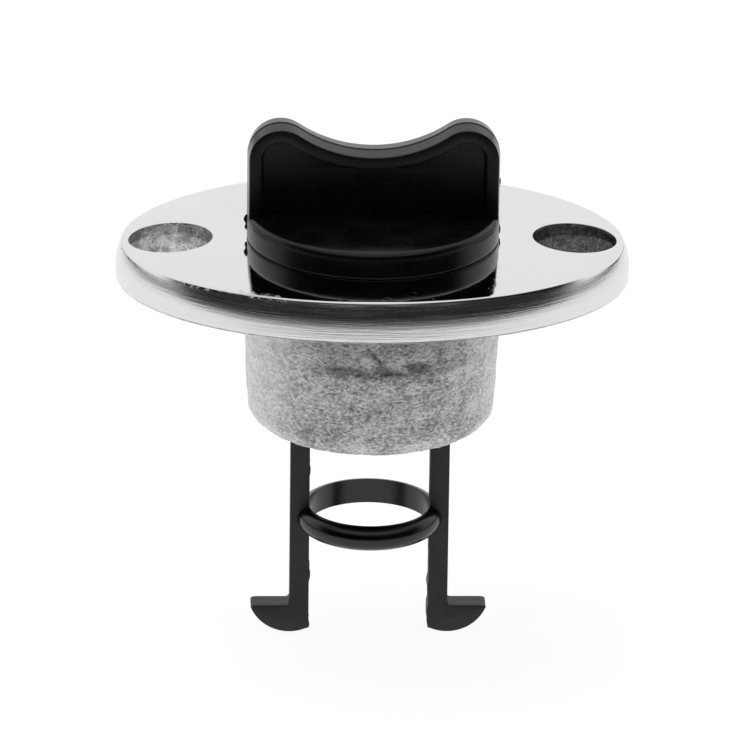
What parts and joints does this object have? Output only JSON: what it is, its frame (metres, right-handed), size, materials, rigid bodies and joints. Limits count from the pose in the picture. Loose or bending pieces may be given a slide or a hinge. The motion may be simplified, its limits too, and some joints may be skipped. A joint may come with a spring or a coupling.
{
  "type": "captive boat drain plug",
  "caption": "Oval screw-down drain socket for a boat hull with a threaded T-handle bung, held captive by two hooked legs and closed on a rubber seal.",
  "frame": {"origin": "centre of the flange's underside, the face that lies on the hull, on the axis of the bore", "axes": "+Z along the bore out of the hull towards the handle, +X through the two fixing screws"},
  "size_m": [0.075, 0.056, 0.0798],
  "materials": {
    "cast_stainless": "flange polished bright, barrel left as cast",
    "black_nylon": "satin moulded surface",
    "seal_rubber": "smooth rubber"
  },
  "bodies": {
    "socket": {"socket": "cast_stainless"},
    "seal": {"seal_ring": "seal_rubber"},
    "bung": {"bung": "black_nylon"}
  },
  "joints": [
    {"name": "bung_lift", "type": "slide", "parent": "socket", "child": "seal", "axis": [0, 0, 1], "range_m": [0, 0.0298]},
    {"name": "bung_turn", "type": "hinge", "parent": "seal", "child": "bung", "pos_m": [0, 0, 0], "axis": [0, 0, 1], "range_deg": [0, 1785]}
  ],
  "couplings": [
    {"joint": "bung_lift", "follows": "bung_turn", "m_per_rad": 0.00095493}
  ]
}
